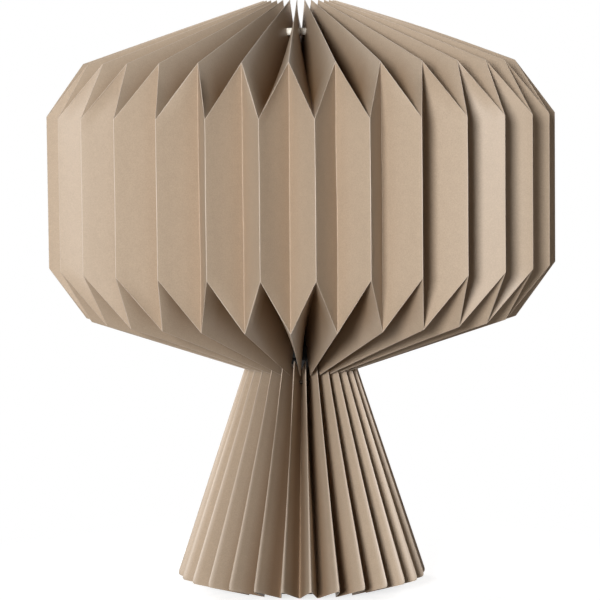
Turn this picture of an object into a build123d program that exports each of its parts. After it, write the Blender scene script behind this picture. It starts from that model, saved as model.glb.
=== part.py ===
"""Table lamp of pleated paper: a lantern shade that sits on a collar above a pleated paper foot.

Millimetres, +Z up, origin on the table under the middle of the foot, front towards -Y.
"""

import os
from math import cos, radians, sin, sqrt

from build123d import *

# Paper: both the shade and the skirt have the same pleats, half a pitch apart where they mesh
SHEETS = 3
PLEATS_PER_SHEET = 10
PAPER = 0.3
FRONT_RIDGE = -98.9  # degrees from +X to the drum ridge just left of the front
TWIST_STEPS = 3  # flat facets along each twisted panel of the cones
FLAT = 1e-6  # mm3, the twist below which four corners make one flat facet

# Shade: the drum's ridges turn into the cones' valleys, and its valleys into their ridges
DRUM_RIDGE_R = 175.0
DRUM_VALLEY_R = 149.0
DRUM_LOW_Z = 224.5
DRUM_HIGH_Z = 327.5
REVERSE_STEP = 35.5  # how far the drum's valleys run past its ridges, at both ends
TOP_TIP_R = 25.0
TOP_TIP_Z = 405.0
TOP_NOTCH_R = 15.7
TOP_NOTCH_Z = 375.5
LOW_TIP_R = 34.0
LOW_TIP_Z = 150.0
LOW_NOTCH_R = 24.75
LOW_NOTCH_Z = 179.3

# Skirt
SKIRT_RIDGE_R = 85.7
SKIRT_RIDGE_Z = 9.2
SKIRT_VALLEY_R = 57.2
SKIRT_HEM_Z = 0.6  # the hem hangs just clear of the table
SKIRT_TOP_RIDGE_R = 36.3
SKIRT_TOP_RIDGE_Z = 160.0
SKIRT_TOP_VALLEY_Z = 151.1

# Drawcords, each through a punched six-sided hole in every panel
CORD_D = 5.2
CORD_HOLE_GAP = 0.35
TOP_CORD_R = 40.5
TOP_CORD_Z = 383.5
LOW_CORD_D = 2.4
LOW_CORD_R = 32.5
LOW_CORD_Z = 169.0
SKIRT_CORD_R = 20.0
SKIRT_CORD_Z = 144.0

# Fits
SEAT_GAP = 0.35  # paper over what carries it
THREAD_GAP = 0.1
SLIP_GAP = 0.2

# Base plate, feet and cable inlet
FOOT_H = 3.0
FOOT_R = 7.0
FOOT_COUNT = 4
FOOT_CIRCLE_R = 42.0
FOOT_EDGE = 0.8
PLATE_H = 8.0
PLATE_EDGE = 0.8
CHANNEL_W = 8.0
CHANNEL_H = 5.5
BUSHING_L = 12.0
BUSHING_INSET = 2.0
CABLE_R = 2.0

# Stem
ROD_R = 5.0
ROD_BORE_R = 3.2
SLEEVE_R = 6.0
SLEEVE_TOP_Z = 155.0
ROD_IN_CAP = 8.0
NUT_FLATS = 14.0
NUT_H = 3.6
WASHER_R = 9.5
WASHER_H = 1.0
RECESS_GAP = 1.0

# Lampholder
CAP_FOOT_R = 9.0
CAP_FOOT_H = 3.0
CAP_R = 14.0
CAP_H = 18.0
CAP_WALL = 3.5
CAP_FLOOR_H = 7.0
HOLDER_H = 33.0
HOLDER_WALL = 2.4
HOLDER_LIP_R = 8.6
HOLDER_LIP_H = 1.5
INSERT_H = 13.0
TERMINAL_R = 1.5
TERMINAL_CIRCLE_R = 9.6
TERMINAL_HEAD_H = 1.2
TERMINAL_SHANK_R = 0.9
SHELL_R = 7.2
SHELL_WALL = 0.5
SHELL_H = 17.0
CONTACT_R = 2.4
CONTACT_H = 1.8

# Shade collar between its two rings
RING_R = 19.5
LOW_RING_H = 4.0
TOP_RING_H = 5.0
RING_GRIPS = 12
GRIP_R = 1.5
COLLAR_SHEET = 1.0
COLLAR_LOW_Z = 162.0
VENT_D = 2.0
VENT_COUNT = 6

# Bulb
CONTACT_GAP = 0.3
TIP_R = 2.2
TIP_H = 1.5
INSULATOR_R = 5.2
INSULATOR_H = 2.4
BULB_CAP_R = 6.9
BULB_CAP_WALL = 0.4
BULB_CAP_H = 22.0
GLASS_GAP = 0.3
GLASS_WALL = 0.9
NECK_DEPTH = 3.0
CANDLE_R = 17.5
CANDLE_WAIST_H = 26.0
CANDLE_H = 73.0
CANDLE_TIP_R = 4.0
STEM_FLARE_H = 10.0
STEM_ROD_R = 1.6
FILAMENT_R = 0.8
FILAMENT_L = 32.0
FILAMENT_COUNT = 4
FILAMENT_CIRCLE_R = 5.5
SUPPORT_H = 0.6

# Worked out from the sizes above
PLEATS = SHEETS * PLEATS_PER_SHEET
HALF_PITCH = 180 / PLEATS
SLOPE = sin(radians(HALF_PITCH))
PLATE_TOP_Z = FOOT_H + PLATE_H
CAP_TOP_Z = SLEEVE_TOP_Z + CAP_H
INSERT_TOP_Z = CAP_TOP_Z + INSERT_H
HOLDER_TOP_Z = CAP_TOP_Z + HOLDER_H
COLLAR_TOP_Z = CAP_TOP_Z + LOW_RING_H + COLLAR_SHEET
INSERT_R = CAP_R - HOLDER_WALL - SLIP_GAP
BULB_TIP_Z = INSERT_TOP_Z + CONTACT_H + CONTACT_GAP
INSULATOR_Z = BULB_TIP_Z + TIP_H
BULB_CAP_Z = INSULATOR_Z + INSULATOR_H
BULB_CAP_TOP_Z = BULB_CAP_Z + BULB_CAP_H
NECK_R = BULB_CAP_R - BULB_CAP_WALL - GLASS_GAP
NECK_Z = BULB_CAP_TOP_Z - NECK_DEPTH
STEM_R = NECK_R - GLASS_WALL - GLASS_GAP
FILAMENT_Z = NECK_Z + STEM_FLARE_H + SUPPORT_H
CHANNEL_ANGLE = FRONT_RIDGE + (PLEATS + PLEATS % 2) * HALF_PITCH + 2 * HALF_PITCH

os.makedirs("parts", exist_ok=True)


def export(part, name):
    part.label = name
    export_step(part, f"parts/{name}.step")


def fold_line(corners, steps):
    """Points (radius, height) of one fold, with each stretch divided into its facets."""
    points = [Vector(*corners[0])]
    for start, end, count in zip(corners, corners[1:], steps):
        run = Vector(*end) - Vector(*start)
        points += [Vector(*start) + run * (k / count) for k in range(1, count + 1)]
    return points


def inner_skin(fold, facing):
    """The inside of a fold: square to it, and deep enough for its two panels to keep their thickness."""
    runs = [b - a for a, b in zip(fold, fold[1:])]
    normals = [Vector(-run.Y, run.X).normalized() for run in runs]
    skin = []
    for corner, other, before, after in zip(fold, facing, normals[:1] + normals, normals + normals[-1:]):
        width = (other - corner).length
        depth = PAPER * width / (other.X * SLOPE)
        mitre = before + after
        skin.append(corner + mitre * (2 * depth / mitre.length**2))
    return skin


def radius_at(line, height):
    """Radius where a straight (radius, height) line reaches a height."""
    low, high = line
    return low.X + (high.X - low.X) * (height - low.Y) / (high.Y - low.Y)


def around(points, column):
    """(radius, height) points stood up at one fold column."""
    angle = radians(FRONT_RIDGE + column * HALF_PITCH)
    return [Vector(p.X * cos(angle), p.X * sin(angle), p.Y) for p in points]


def strip(left, right):
    """Flat facets between two fold lines: whole where four corners lie flat, else two triangles."""
    facets = []
    for a, b, c, d in zip(left, left[1:], right[1:], right):
        twist = (b - a).cross(d - a).dot(c - a)
        facets += [[a, b, c, d]] if abs(twist) < FLAT else [[a, b, c], [a, c, d]]
    return facets


def pleated(ridge, valley, panels):
    """Closed solid of a run of pleats that starts and ends in the plane of a ridge column."""
    skins = (ridge, inner_skin(ridge, valley)), (valley, inner_skin(valley, ridge))
    facets = []
    for column in range(panels):
        near, far = [[around(side, c) for side in skins[c % 2]] for c in (column, column + 1)]
        for skin in (0, 1):
            facets += strip(near[skin], far[skin])
        for end in (0, -1):
            facets += strip([near[0][end], near[1][end]], [far[0][end], far[1][end]])
    for column in (0, panels):
        outer, inner = [around(side, column) for side in skins[column % 2]]
        facets.append(outer + inner[::-1])
    return Solid(Shell([Face(Wire.make_polygon(corners)) for corners in facets]))


def panel_plane(panel):
    """Upright plane from the axis out along the middle of a panel: radius across, height up."""
    out = Vector(1, 0).rotate(Axis.Z, FRONT_RIDGE + (panel + 0.5) * HALF_PITCH)
    return Plane(origin=(0, 0, 0), x_dir=out, z_dir=out.cross(Vector(0, 0, 1)))


# Fold lines of the shade, from its lower mouth up to its crown
cone_steps = (TWIST_STEPS, 1, TWIST_STEPS)
drum_ridge = fold_line(
    [
        (LOW_NOTCH_R, LOW_NOTCH_Z),
        (DRUM_RIDGE_R, DRUM_LOW_Z),
        (DRUM_RIDGE_R, DRUM_HIGH_Z),
        (TOP_NOTCH_R, TOP_NOTCH_Z),
    ],
    cone_steps,
)
drum_valley = fold_line(
    [
        (LOW_TIP_R, LOW_TIP_Z),
        (DRUM_VALLEY_R, DRUM_LOW_Z - REVERSE_STEP),
        (DRUM_VALLEY_R, DRUM_HIGH_Z + REVERSE_STEP),
        (TOP_TIP_R, TOP_TIP_Z),
    ],
    cone_steps,
)

# Fold lines of the skirt: its valleys' upper ends come in to the stem's sleeve
skirt_top_depth = PAPER * (SKIRT_TOP_RIDGE_R - SLEEVE_R) / (SKIRT_TOP_RIDGE_R * SLOPE)
SKIRT_TOP_VALLEY_R = SLEEVE_R + SEAT_GAP + skirt_top_depth
skirt_ridge = fold_line(
    [(SKIRT_RIDGE_R, SKIRT_RIDGE_Z), (SKIRT_TOP_RIDGE_R, SKIRT_TOP_RIDGE_Z)], (TWIST_STEPS,)
)
skirt_valley = fold_line(
    [(SKIRT_VALLEY_R, SKIRT_HEM_Z), (SKIRT_TOP_VALLEY_R, SKIRT_TOP_VALLEY_Z)], (TWIST_STEPS,)
)

# Lines that other pieces seat against
skirt_inside = inner_skin(skirt_valley, skirt_ridge)[:2]
mouth_edge = [inner_skin(drum_valley, drum_ridge)[0], inner_skin(drum_ridge, drum_valley)[0]]

# Shade: one glued sheet, punched for its two drawcords, and its copies around the axis
with BuildPart() as shade_sheet:
    add(pleated(drum_ridge, drum_valley, 2 * PLEATS_PER_SHEET))
    for panel in range(2 * PLEATS_PER_SHEET):
        with BuildSketch(panel_plane(panel)):
            with Locations((TOP_CORD_R, TOP_CORD_Z)):
                RegularPolygon(CORD_D / 2 + CORD_HOLE_GAP, 6, major_radius=False)
            with Locations((LOW_CORD_R, LOW_CORD_Z)):
                RegularPolygon(LOW_CORD_D / 2 + CORD_HOLE_GAP, 6, major_radius=False)
    extrude(amount=TOP_CORD_R * SLOPE / 2, both=True, mode=Mode.SUBTRACT)

for sheet in range(SHEETS):
    export(shade_sheet.part.rotate(Axis.Z, sheet * 360 / SHEETS), f"shade_sheet_{sheet + 1}")

with BuildPart() as top_drawcord:
    with BuildSketch(Plane.XZ):
        with Locations((TOP_CORD_R, TOP_CORD_Z)):
            Circle(CORD_D / 2)
    revolve(axis=Axis.Z)
export(top_drawcord.part, "top_drawcord")

with BuildPart() as mouth_drawcord:
    with BuildSketch(Plane.XZ):
        with Locations((LOW_CORD_R, LOW_CORD_Z)):
            Circle(LOW_CORD_D / 2)
    revolve(axis=Axis.Z)
export(mouth_drawcord.part, "mouth_drawcord")

# Skirt: one glued sheet, punched for its drawcord, and its copies around the stem
with BuildPart() as skirt_sheet:
    add(pleated(skirt_ridge, skirt_valley, 2 * PLEATS_PER_SHEET))
    for panel in range(2 * PLEATS_PER_SHEET):
        with BuildSketch(panel_plane(panel)):
            with Locations((SKIRT_CORD_R, SKIRT_CORD_Z)):
                RegularPolygon(LOW_CORD_D / 2 + CORD_HOLE_GAP, 6, major_radius=False)
    extrude(amount=SKIRT_CORD_R * SLOPE / 2, both=True, mode=Mode.SUBTRACT)

for sheet in range(SHEETS):
    export(skirt_sheet.part.rotate(Axis.Z, sheet * 360 / SHEETS), f"skirt_sheet_{sheet + 1}")

with BuildPart() as skirt_drawcord:
    with BuildSketch(Plane.XZ):
        with Locations((SKIRT_CORD_R, SKIRT_CORD_Z)):
            Circle(LOW_CORD_D / 2)
    revolve(axis=Axis.Z)
export(skirt_drawcord.part, "skirt_drawcord")

# Base plate: tapered rim inside the skirt, recess for washer and nut, channel for the cable
recess_h = WASHER_H + NUT_H
recess_r = WASHER_R + RECESS_GAP
channel_plane = Plane.XY.offset(FOOT_H).rotated((0, 0, CHANNEL_ANGLE))
with BuildPart() as base_plate:
    with BuildSketch(Plane.XZ):
        with BuildLine():
            Polyline(
                (ROD_R + THREAD_GAP, FOOT_H),
                (radius_at(skirt_inside, FOOT_H) - SEAT_GAP, FOOT_H),
                (radius_at(skirt_inside, PLATE_TOP_Z) - SEAT_GAP, PLATE_TOP_Z),
                (ROD_R + THREAD_GAP, PLATE_TOP_Z),
                close=True,
            )
        make_face()
    revolve(axis=Axis.Z)
    rims = base_plate.edges().filter_by(GeomType.CIRCLE).group_by(Axis.Z)[-1]
    chamfer(rims.sort_by(SortBy.RADIUS)[-1], PLATE_EDGE)
    with BuildSketch(Plane.XY.offset(FOOT_H)):
        Circle(recess_r)
    extrude(amount=recess_h, mode=Mode.SUBTRACT)
    with BuildSketch(channel_plane):
        Rectangle(SKIRT_RIDGE_R, CHANNEL_W, align=(Align.MIN, Align.CENTER))
    extrude(amount=CHANNEL_H, mode=Mode.SUBTRACT)
export(base_plate.part, "base_plate")

with BuildPart() as rubber_feet:
    with BuildSketch():
        with PolarLocations(FOOT_CIRCLE_R, FOOT_COUNT, start_angle=CHANNEL_ANGLE + 180 / FOOT_COUNT):
            Circle(FOOT_R)
    extrude(amount=FOOT_H)
    chamfer(rubber_feet.edges().group_by(Axis.Z)[0], FOOT_EDGE)
export(rubber_feet.part, "rubber_feet")

# Cable bushing: a nylon block in the channel's outer end, with the cable's hole along it
bushing_end = radius_at(skirt_inside, PLATE_TOP_Z) - SEAT_GAP - BUSHING_INSET
bushing_plane = Plane(
    origin=channel_plane.from_local_coords((bushing_end, 0, CHANNEL_H / 2)),
    x_dir=channel_plane.y_dir,
    z_dir=channel_plane.x_dir,
)
with BuildPart() as cable_bushing:
    with BuildSketch(bushing_plane):
        Rectangle(CHANNEL_W - 2 * THREAD_GAP, CHANNEL_H - 2 * THREAD_GAP)
        Circle(CABLE_R, mode=Mode.SUBTRACT)
    extrude(amount=-BUSHING_L)
export(cable_bushing.part, "cable_bushing")

# Stem: hollow threaded rod, clamped by its nut below and the holder's cap above, in a sleeve
with BuildPart() as threaded_rod:
    with BuildSketch(Plane.XY.offset(FOOT_H)):
        Circle(ROD_R)
        Circle(ROD_BORE_R, mode=Mode.SUBTRACT)
    extrude(amount=SLEEVE_TOP_Z + ROD_IN_CAP - FOOT_H)
export(threaded_rod.part, "threaded_rod")

with BuildPart() as lower_nut:
    with BuildSketch(Plane.XY.offset(FOOT_H)):
        RegularPolygon(NUT_FLATS / 2, 6, major_radius=False)
        Circle(ROD_R + THREAD_GAP, mode=Mode.SUBTRACT)
    extrude(amount=NUT_H)
export(lower_nut.part, "lower_nut")

with BuildPart() as lower_washer:
    with BuildSketch(Plane.XY.offset(FOOT_H + NUT_H)):
        Circle(WASHER_R)
        Circle(ROD_R + THREAD_GAP, mode=Mode.SUBTRACT)
    extrude(amount=WASHER_H)
export(lower_washer.part, "lower_washer")

with BuildPart() as stem_sleeve:
    with BuildSketch(Plane.XY.offset(PLATE_TOP_Z)):
        Circle(SLEEVE_R)
        Circle(ROD_R + SLIP_GAP, mode=Mode.SUBTRACT)
    extrude(amount=SLEEVE_TOP_Z - PLATE_TOP_Z)
export(stem_sleeve.part, "stem_sleeve")

# Lampholder cap: screwed on the rod's upper end, hollow above its floor for the wires
with BuildPart() as holder_cap:
    with BuildSketch(Plane.XZ):
        with BuildLine():
            Polyline(
                (ROD_R + THREAD_GAP, SLEEVE_TOP_Z),
                (CAP_FOOT_R, SLEEVE_TOP_Z),
                (CAP_FOOT_R, SLEEVE_TOP_Z + CAP_FOOT_H),
                (CAP_R, SLEEVE_TOP_Z + CAP_FLOOR_H),
                (CAP_R, CAP_TOP_Z),
                (CAP_R - CAP_WALL, CAP_TOP_Z),
                (CAP_R - CAP_WALL, SLEEVE_TOP_Z + CAP_FLOOR_H),
                (ROD_R + THREAD_GAP, SLEEVE_TOP_Z + CAP_FLOOR_H),
                close=True,
            )
        make_face()
    revolve(axis=Axis.Z)
export(holder_cap.part, "holder_cap")

with BuildPart() as holder_body:
    with BuildSketch(Plane.XZ):
        with BuildLine():
            Polyline(
                (CAP_R - HOLDER_WALL, CAP_TOP_Z),
                (CAP_R, CAP_TOP_Z),
                (CAP_R, HOLDER_TOP_Z),
                (HOLDER_LIP_R, HOLDER_TOP_Z),
                (HOLDER_LIP_R, HOLDER_TOP_Z - HOLDER_LIP_H),
                (CAP_R - HOLDER_WALL, HOLDER_TOP_Z - HOLDER_LIP_H),
                close=True,
            )
        make_face()
    revolve(axis=Axis.Z)
export(holder_body.part, "holder_body")

with BuildPart() as holder_insert:
    with BuildSketch(Plane.XY.offset(CAP_TOP_Z)):
        Circle(INSERT_R)
        with PolarLocations(TERMINAL_CIRCLE_R, 2):
            Circle(TERMINAL_SHANK_R + THREAD_GAP, mode=Mode.SUBTRACT)
    extrude(amount=INSERT_H)
export(holder_insert.part, "holder_insert")

with BuildPart() as terminal_screws:
    with BuildSketch(Plane.XY.offset(CAP_TOP_Z)):
        with PolarLocations(TERMINAL_CIRCLE_R, 2):
            Circle(TERMINAL_SHANK_R)
    extrude(amount=INSERT_H)
    with BuildSketch(Plane.XY.offset(INSERT_TOP_Z)):
        with PolarLocations(TERMINAL_CIRCLE_R, 2):
            Circle(TERMINAL_R)
    extrude(amount=TERMINAL_HEAD_H)
export(terminal_screws.part, "terminal_screws")

with BuildPart() as screw_shell:
    with BuildSketch(Plane.XY.offset(INSERT_TOP_Z)):
        Circle(SHELL_R + SHELL_WALL)
        Circle(SHELL_R, mode=Mode.SUBTRACT)
    extrude(amount=SHELL_H)
export(screw_shell.part, "screw_shell")

with BuildPart() as centre_contact:
    with BuildSketch(Plane.XY.offset(INSERT_TOP_Z)):
        Circle(CONTACT_R)
    extrude(amount=CONTACT_H)
    fillet(centre_contact.edges().group_by(Axis.Z)[-1], CONTACT_H / 3)
export(centre_contact.part, "centre_contact")


def shade_ring(low, height):
    """Threaded ring around the holder body, with finger grips in its rim."""
    with BuildPart() as ring:
        with BuildSketch(Plane.XY.offset(low)):
            Circle(RING_R)
            Circle(CAP_R + SLIP_GAP, mode=Mode.SUBTRACT)
            with PolarLocations(RING_R, RING_GRIPS):
                Circle(GRIP_R, mode=Mode.SUBTRACT)
        extrude(amount=height)
    return ring.part


export(shade_ring(CAP_TOP_Z, LOW_RING_H), "lower_shade_ring")
export(shade_ring(COLLAR_TOP_Z, TOP_RING_H), "upper_shade_ring")

# Shade collar: a spun cone with a flat top; the mouth's cut edges come to rest on it
collar_top_r = radius_at(mouth_edge, COLLAR_TOP_Z) - SEAT_GAP
collar_low_r = radius_at(mouth_edge, COLLAR_LOW_Z) - SEAT_GAP
with BuildPart() as shade_collar:
    with BuildSketch(Plane.XZ):
        with BuildLine():
            Polyline(
                (CAP_R + SLIP_GAP, COLLAR_TOP_Z),
                (collar_top_r, COLLAR_TOP_Z),
                (collar_low_r, COLLAR_LOW_Z),
                (collar_low_r - COLLAR_SHEET, COLLAR_LOW_Z),
                (collar_top_r - COLLAR_SHEET, COLLAR_TOP_Z - COLLAR_SHEET),
                (CAP_R + SLIP_GAP, COLLAR_TOP_Z - COLLAR_SHEET),
                close=True,
            )
        make_face()
    revolve(axis=Axis.Z)
    with BuildSketch(Plane.XY.offset(COLLAR_TOP_Z)):
        with PolarLocations((RING_R + collar_top_r) / 2, VENT_COUNT):
            Circle(VENT_D / 2)
    extrude(amount=-COLLAR_SHEET, mode=Mode.SUBTRACT)
export(shade_collar.part, "shade_collar")

# Bulb: tip, insulator and screw cap
with BuildPart() as bulb_tip:
    with BuildSketch(Plane.XY.offset(BULB_TIP_Z)):
        Circle(TIP_R)
    extrude(amount=TIP_H)
    fillet(bulb_tip.edges().group_by(Axis.Z)[0], TIP_H / 2)
export(bulb_tip.part, "bulb_tip")

with BuildPart() as bulb_insulator:
    with BuildSketch(Plane.XZ):
        with BuildLine():
            Polyline(
                (0, INSULATOR_Z),
                (TIP_R, INSULATOR_Z),
                (INSULATOR_R, BULB_CAP_Z),
                (0, BULB_CAP_Z),
                close=True,
            )
        make_face()
    revolve(axis=Axis.Z)
export(bulb_insulator.part, "bulb_insulator")

with BuildPart() as bulb_cap:
    with BuildSketch(Plane.XZ):
        with BuildLine():
            Polyline(
                (0, BULB_CAP_Z),
                (INSULATOR_R, BULB_CAP_Z),
                (BULB_CAP_R, BULB_CAP_Z + BULB_CAP_R - INSULATOR_R),
                (BULB_CAP_R, BULB_CAP_TOP_Z),
                (BULB_CAP_R - BULB_CAP_WALL, BULB_CAP_TOP_Z),
                (BULB_CAP_R - BULB_CAP_WALL, BULB_CAP_Z + BULB_CAP_R - INSULATOR_R),
                (INSULATOR_R - BULB_CAP_WALL, BULB_CAP_Z + BULB_CAP_WALL),
                (0, BULB_CAP_Z + BULB_CAP_WALL),
                close=True,
            )
        make_face()
    revolve(axis=Axis.Z)
export(bulb_cap.part, "bulb_cap")


def candle(inset):
    """Half section of the candle glass, solid to its axis, set in from the outside."""
    neck_r = NECK_R - inset
    belly_r = CANDLE_R - inset
    tip_r = CANDLE_TIP_R - inset
    waist = BULB_CAP_TOP_Z + CANDLE_WAIST_H
    tip_z = BULB_CAP_TOP_Z + CANDLE_H - CANDLE_TIP_R
    # the neck flares into a round belly, and a cone runs from the belly to a small round tip
    flare_r = (neck_r**2 + CANDLE_WAIST_H**2 - belly_r**2) / (belly_r - neck_r) / 2
    share = belly_r / (belly_r + flare_r)
    flare_end = ((neck_r + flare_r) * share, waist - CANDLE_WAIST_H * share)
    rise = (belly_r - tip_r) / (tip_z - waist)
    across = sqrt(1 - rise**2)
    cone_low = (belly_r * across, waist + belly_r * rise)
    cone_high = (tip_r * across, tip_z + tip_r * rise)
    with BuildSketch(Plane.XZ) as section:
        with BuildLine():
            Line((neck_r, NECK_Z), (neck_r, BULB_CAP_TOP_Z))
            TangentArc((neck_r, BULB_CAP_TOP_Z), flare_end, tangent=(0, 1))
            ThreePointArc(flare_end, (belly_r, waist), cone_low)
            Line(cone_low, cone_high)
            TangentArc((0, tip_z + tip_r), cone_high, tangent=(1, 0))
            Polyline((0, tip_z + tip_r), (0, NECK_Z), (neck_r, NECK_Z))
        make_face()
    return section.sketch


with BuildPart() as glass_globe:
    add(candle(0))
    revolve(axis=Axis.Z)
    add(candle(GLASS_WALL))
    revolve(axis=Axis.Z, mode=Mode.SUBTRACT)
export(glass_globe.part, "glass_globe")

# Bulb's inside: a flared glass stem, two star supports and the filaments between them
with BuildPart() as glass_stem:
    with BuildSketch(Plane.XZ):
        with BuildLine():
            Polyline(
                (0, NECK_Z),
                (STEM_R, NECK_Z),
                (STEM_ROD_R, NECK_Z + STEM_FLARE_H),
                (STEM_ROD_R, FILAMENT_Z + FILAMENT_L + SUPPORT_H),
                (0, FILAMENT_Z + FILAMENT_L + SUPPORT_H),
                close=True,
            )
        make_face()
    revolve(axis=Axis.Z)
export(glass_stem.part, "glass_stem")

support_r = FILAMENT_CIRCLE_R + FILAMENT_R
with BuildPart() as filament_supports:
    for low in (FILAMENT_Z - SUPPORT_H, FILAMENT_Z + FILAMENT_L):
        with BuildSketch(Plane.XY.offset(low)):
            with PolarLocations(0, FILAMENT_COUNT // 2, angular_range=180):
                Rectangle(2 * support_r, 2 * FILAMENT_R)
            Circle(STEM_ROD_R + 2 * THREAD_GAP + FILAMENT_R)
            Circle(STEM_ROD_R + THREAD_GAP, mode=Mode.SUBTRACT)
        extrude(amount=SUPPORT_H)
export(filament_supports.part, "filament_supports")

with BuildPart() as led_filaments:
    with BuildSketch(Plane.XY.offset(FILAMENT_Z)):
        with PolarLocations(FILAMENT_CIRCLE_R, FILAMENT_COUNT):
            Circle(FILAMENT_R)
    extrude(amount=FILAMENT_L)
export(led_filaments.part, "led_filaments")
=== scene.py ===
"""Looks of the pleated paper table lamp: folded paper, cords, bulb, fittings and stage."""

import math

import bpy
import numpy as np
from bpy.props import FloatProperty, FloatVectorProperty, IntProperty, PointerProperty
from mathutils import Euler, Matrix, Vector, noise


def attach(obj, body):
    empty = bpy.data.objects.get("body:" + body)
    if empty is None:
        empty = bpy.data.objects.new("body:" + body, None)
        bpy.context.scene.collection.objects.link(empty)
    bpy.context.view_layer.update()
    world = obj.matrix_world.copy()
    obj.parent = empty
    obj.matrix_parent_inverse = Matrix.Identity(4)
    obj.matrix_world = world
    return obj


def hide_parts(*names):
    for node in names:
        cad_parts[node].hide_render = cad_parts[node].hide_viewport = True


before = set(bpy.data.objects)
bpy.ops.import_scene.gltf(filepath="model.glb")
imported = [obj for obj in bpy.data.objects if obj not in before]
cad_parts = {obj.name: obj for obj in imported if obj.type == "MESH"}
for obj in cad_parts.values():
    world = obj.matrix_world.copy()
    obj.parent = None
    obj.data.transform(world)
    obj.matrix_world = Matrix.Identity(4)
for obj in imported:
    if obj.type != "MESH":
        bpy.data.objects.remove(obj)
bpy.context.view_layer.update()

bl_info = {
    "name": "Pleated Paper Lamp",
    "version": (1, 0, 0),
    "blender": (4, 5, 0),
    "location": "View3D > Sidebar > Paper Lamp",
    "description": "Dresses the packed frame of a pleated paper table lamp",
    "category": "Object",
}

ARC = 6  # steps around each eased fold
ACROSS = 4  # points across the flat of each panel
SHADE_ROWS = (12, 10, 12)  # steps up the lower cone, the drum and the crown
HEM_ROWS, SKIRT_ROWS = 6, 24  # rows of points in the hem's band and above it
FOLD_STEP = 5.37  # from one fold to the next in the noise that folds wander by
FOLD_WAVES = 22  # steps of that noise in a metre of height
SIDEWAYS, INWARDS, BOWING = 1.5, 7.5, 31.5  # places in that noise, one for each way of straying
STRAND_OUT = 0.24  # a laid strand's centre from its cord's centre, as a share of the cord's diameter
BRAID_ENDS = 4  # strands that wind each way round a braided cord
BRAID_DEPTH = 0.045  # hollows of a braid, as a share of its cord's radius
THREAD_ROWS = 10  # rows of points in one turn of a thread
SENSOR = 36  # mm
WHITE = (1, 1, 1, 1)


def length(name, description, default):
    return FloatProperty(name=name, description=description, default=default, unit="LENGTH", precision=4)


def position(name, description, default):
    return FloatVectorProperty(
        name=name, description=description, default=default, subtype="TRANSLATION", unit="LENGTH", size=3
    )


def colour(name, description, default):
    return FloatVectorProperty(
        name=name, description=description, default=default, subtype="COLOR", size=3, min=0, max=1
    )


def amount(name, description, default):
    return FloatProperty(name=name, description=description, default=default, precision=3)


def angle(name, description, degrees):
    return FloatProperty(name=name, description=description, default=math.radians(degrees), subtype="ANGLE")


def power(name, description, default):
    return FloatProperty(name=name, description=description, default=default, unit="POWER")


def count(name, description, default):
    return IntProperty(name=name, description=description, default=default)


class PaperFolds(bpy.types.PropertyGroup):
    """Pleats that the shade and the skirt share"""

    sheets: count("Sheets", "Glued sheets in each ring", 3)
    pleats: count("Pleats", "Pleats around each ring", 30)
    first_ridge: angle("First ridge", "Bearing of the drum ridge left of the front", -8.9)
    thickness: length("Thickness", "Thickness of the paper", 0.0003)
    wander: length("Wander", "How far a hand-made fold strays from its line", 0.0003)
    steady: amount("Steady folds", "Share of that wander in the drum's ridges and their like", 0.6)
    loose: amount("Loose folds", "Share of that wander in the drum's valleys and their like", 1.4)
    softness: amount("Softness", "How broad the pale band of a fold is", 1.6)
    bow: length("Bow", "How far the flat of a panel swells or sinks", 0.0005)


class ShadeSizes(bpy.types.PropertyGroup):
    """Lantern shade"""

    ridge_r: length("Ridge radius", "Drum ridges from the axis", 0.1748)
    valley_r: length("Valley radius", "Drum valleys from the axis", 0.149)
    drum_low: length("Drum foot", "Lower ends of the drum ridges", 0.2245)
    drum_high: length("Drum head", "Upper ends of the drum ridges", 0.3275)
    reverse: length("Reverse step", "How far the valleys run past the ridges", 0.0355)
    crown_tip_r: length("Crown tip radius", "Fin tips at the crown", 0.025)
    crown_tip_z: length("Crown tip height", "Fin tips at the crown", 0.405)
    crown_notch_r: length("Crown notch radius", "Valleys between the crown's fins", 0.0157)
    crown_notch_z: length("Crown notch height", "Valleys between the crown's fins", 0.3755)
    mouth_tip_r: length("Mouth tip radius", "Fin tips at the lower mouth", 0.034)
    mouth_tip_z: length("Mouth tip height", "Fin tips at the lower mouth", 0.150)
    mouth_notch_r: length("Mouth notch radius", "Valleys between the mouth's fins", 0.02475)
    mouth_notch_z: length("Mouth notch height", "Valleys between the mouth's fins", 0.1793)
    fold: length("Pressed fold", "Reach of a ridge's pressed fold to each side", 0.0008)
    soft_fold: length("Soft fold", "Reach of a valley's softer fold to each side", 0.0006)
    bunching: amount("Bunching", "How much the pleats close up at the front", -0.033)
    crown_swell: length("Crown swell", "How far the crown's slope swells up", 0.0008)
    swell_lean: amount("Swell lean", "How much more of that swell the right side has", 0.8)
    crown_turn: angle("Crown turn", "How far the crown's fins are drawn round at the back", 6)
    # Pale fold marks: partly wear of the pressed folds, partly painted highlight along them.
    wear_and_highlight: amount("Wear", "How pale the folds have worn", 0.85)
    inner_wear_and_highlight: amount("Inner wear", "Wear of an inner fold, as a share of an outer one's", 0.25)
    # Painted shadow: how the dark colour comes in towards the cones' inner folds and the drum's valleys.
    deep_from: amount("Deep from", "Share of a cone's length over which the deep colour comes in", 0.15)
    drum_deep: amount("Drum depth", "How fast the drum's panels deepen towards its valleys", 0.43)
    drum_spared: amount("Drum spared", "How much of that depth its panels are spared", 0.23)


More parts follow.
